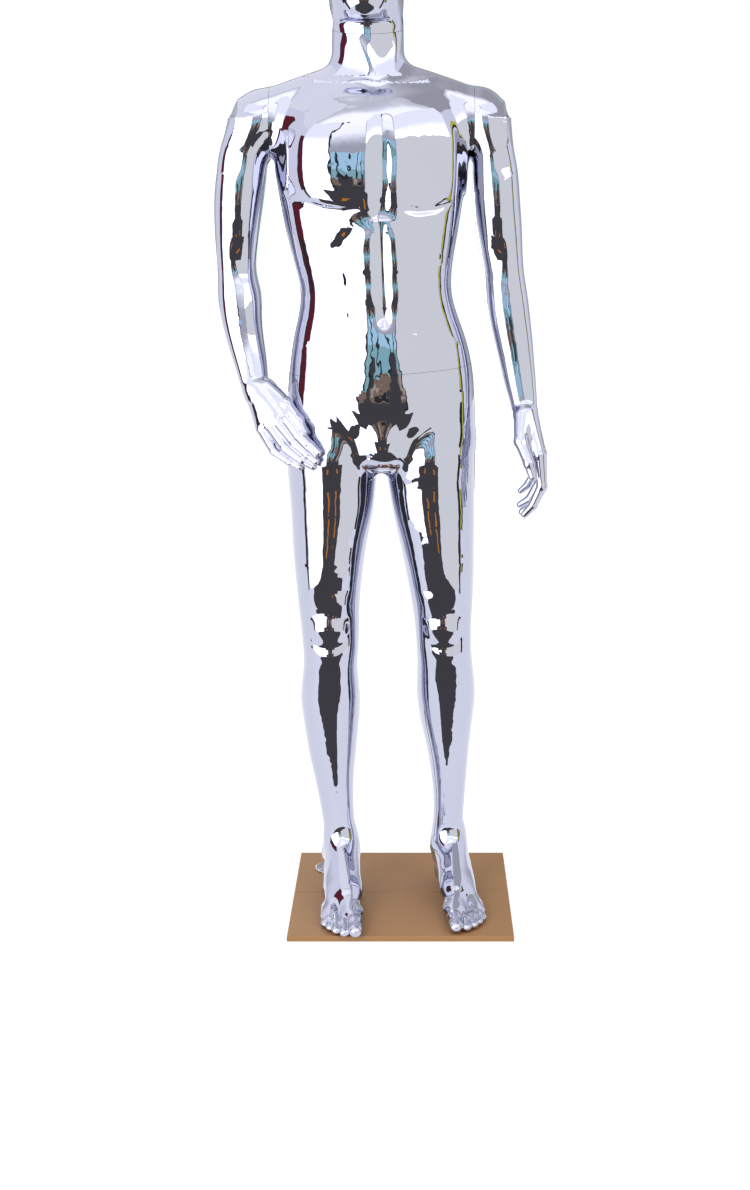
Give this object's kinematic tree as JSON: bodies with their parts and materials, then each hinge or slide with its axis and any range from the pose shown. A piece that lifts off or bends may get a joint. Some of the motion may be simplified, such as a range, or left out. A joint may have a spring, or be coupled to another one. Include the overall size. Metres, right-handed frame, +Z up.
{
  "type": "full body mannequin",
  "caption": "Standing male display mannequin with mirror chrome finish, smooth faceless head, lift-off torso, swinging arms and a square two-piece base with calf rod.",
  "frame": {"origin": "on the floor, under the middle of the overall box", "axes": "+Z up, the figure faces -Y, its right side is -X"},
  "size_m": [0.6033, 0.4115, 1.845],
  "materials": {
    "chrome_plating": "polished",
    "bronze_paint": "satin",
    "rod_chrome": "polished",
    "plain_steel": "satin",
    "screw_steel": "satin",
    "cast_aluminium": "satin",
    "white_nylon": "satin",
    "black_rubber": "matte"
  },
  "bodies": {
    "base": {"base_plate_front": "bronze_paint", "base_plate_rear": "bronze_paint", "joining_straps": "plain_steel", "strap_screws": "screw_steel", "flange_backing_plate": "plain_steel", "rubber_feet": "black_rubber", "rod_flange": "rod_chrome", "flange_screws": "screw_steel", "rod_set_screw": "screw_steel", "calf_rod": "rod_chrome"},
    "hips": {"hips_and_legs": "chrome_plating", "calf_socket": "plain_steel", "waist_socket": "cast_aluminium", "waist_socket_screws": "screw_steel"},
    "waist_swivel": {"waist_swivel_bush": "white_nylon"},
    "torso": {"torso_shell": "chrome_plating", "waist_spigot": "cast_aluminium", "waist_spigot_screws": "screw_steel", "neck_socket": "cast_aluminium", "neck_socket_screws": "screw_steel", "right_shoulder_socket": "cast_aluminium", "right_shoulder_socket_screws": "screw_steel", "left_shoulder_socket": "cast_aluminium", "left_shoulder_socket_screws": "screw_steel"},
    "neck_swivel": {"neck_swivel_bush": "white_nylon"},
    "head": {"head_shell": "chrome_plating", "neck_spigot": "cast_aluminium", "neck_spigot_screws": "screw_steel"},
    "right_shoulder_swivel": {"right_shoulder_swivel_bush": "white_nylon"},
    "right_arm": {"right_arm": "chrome_plating", "right_shoulder_spigot": "cast_aluminium", "right_shoulder_spigot_screws": "screw_steel"},
    "left_shoulder_swivel": {"left_shoulder_swivel_bush": "white_nylon"},
    "left_arm": {"left_arm": "chrome_plating", "left_shoulder_spigot": "cast_aluminium", "left_shoulder_spigot_screws": "screw_steel"}
  },
  "joints": [
    {"name": "figure_lift", "type": "slide", "parent": "base", "child": "hips", "axis": [0, -0.5, 0.866], "range_m": [0, 0.13]},
    {"name": "waist_twist", "type": "hinge", "parent": "hips", "child": "waist_swivel", "pos_m": [0, 0.024, 0.998], "axis": [-0.0506, -0.087, 0.9949], "range_deg": [0, 40]},
    {"name": "torso_lift", "type": "slide", "parent": "waist_swivel", "child": "torso", "axis": [-0.0506, -0.087, 0.9949], "range_m": [0, 0.08]},
    {"name": "neck_turn", "type": "hinge", "parent": "torso", "child": "neck_swivel", "pos_m": [-0.024, 0.034, 1.606], "axis": [0, -0.225, 0.9744], "range_deg": [-80, 80]},
    {"name": "head_lift", "type": "slide", "parent": "neck_swivel", "child": "head", "axis": [0, -0.225, 0.9744], "range_m": [0, 0.06]},
    {"name": "right_arm_swing", "type": "hinge", "parent": "torso", "child": "right_shoulder_swivel", "pos_m": [-0.2, 0.03, 1.447], "axis": [-1, 0, 0], "range_deg": [0, 120]},
    {"name": "right_arm_pull", "type": "slide", "parent": "right_shoulder_swivel", "child": "right_arm", "axis": [-1, 0, 0], "range_m": [0, 0.06]},
    {"name": "left_arm_swing", "type": "hinge", "parent": "torso", "child": "left_shoulder_swivel", "pos_m": [0.168, 0.03, 1.447], "axis": [-1, 0, 0], "range_deg": [-30, 120]},
    {"name": "left_arm_pull", "type": "slide", "parent": "left_shoulder_swivel", "child": "left_arm", "axis": [1, 0, 0], "range_m": [0, 0.06]}
  ]
}
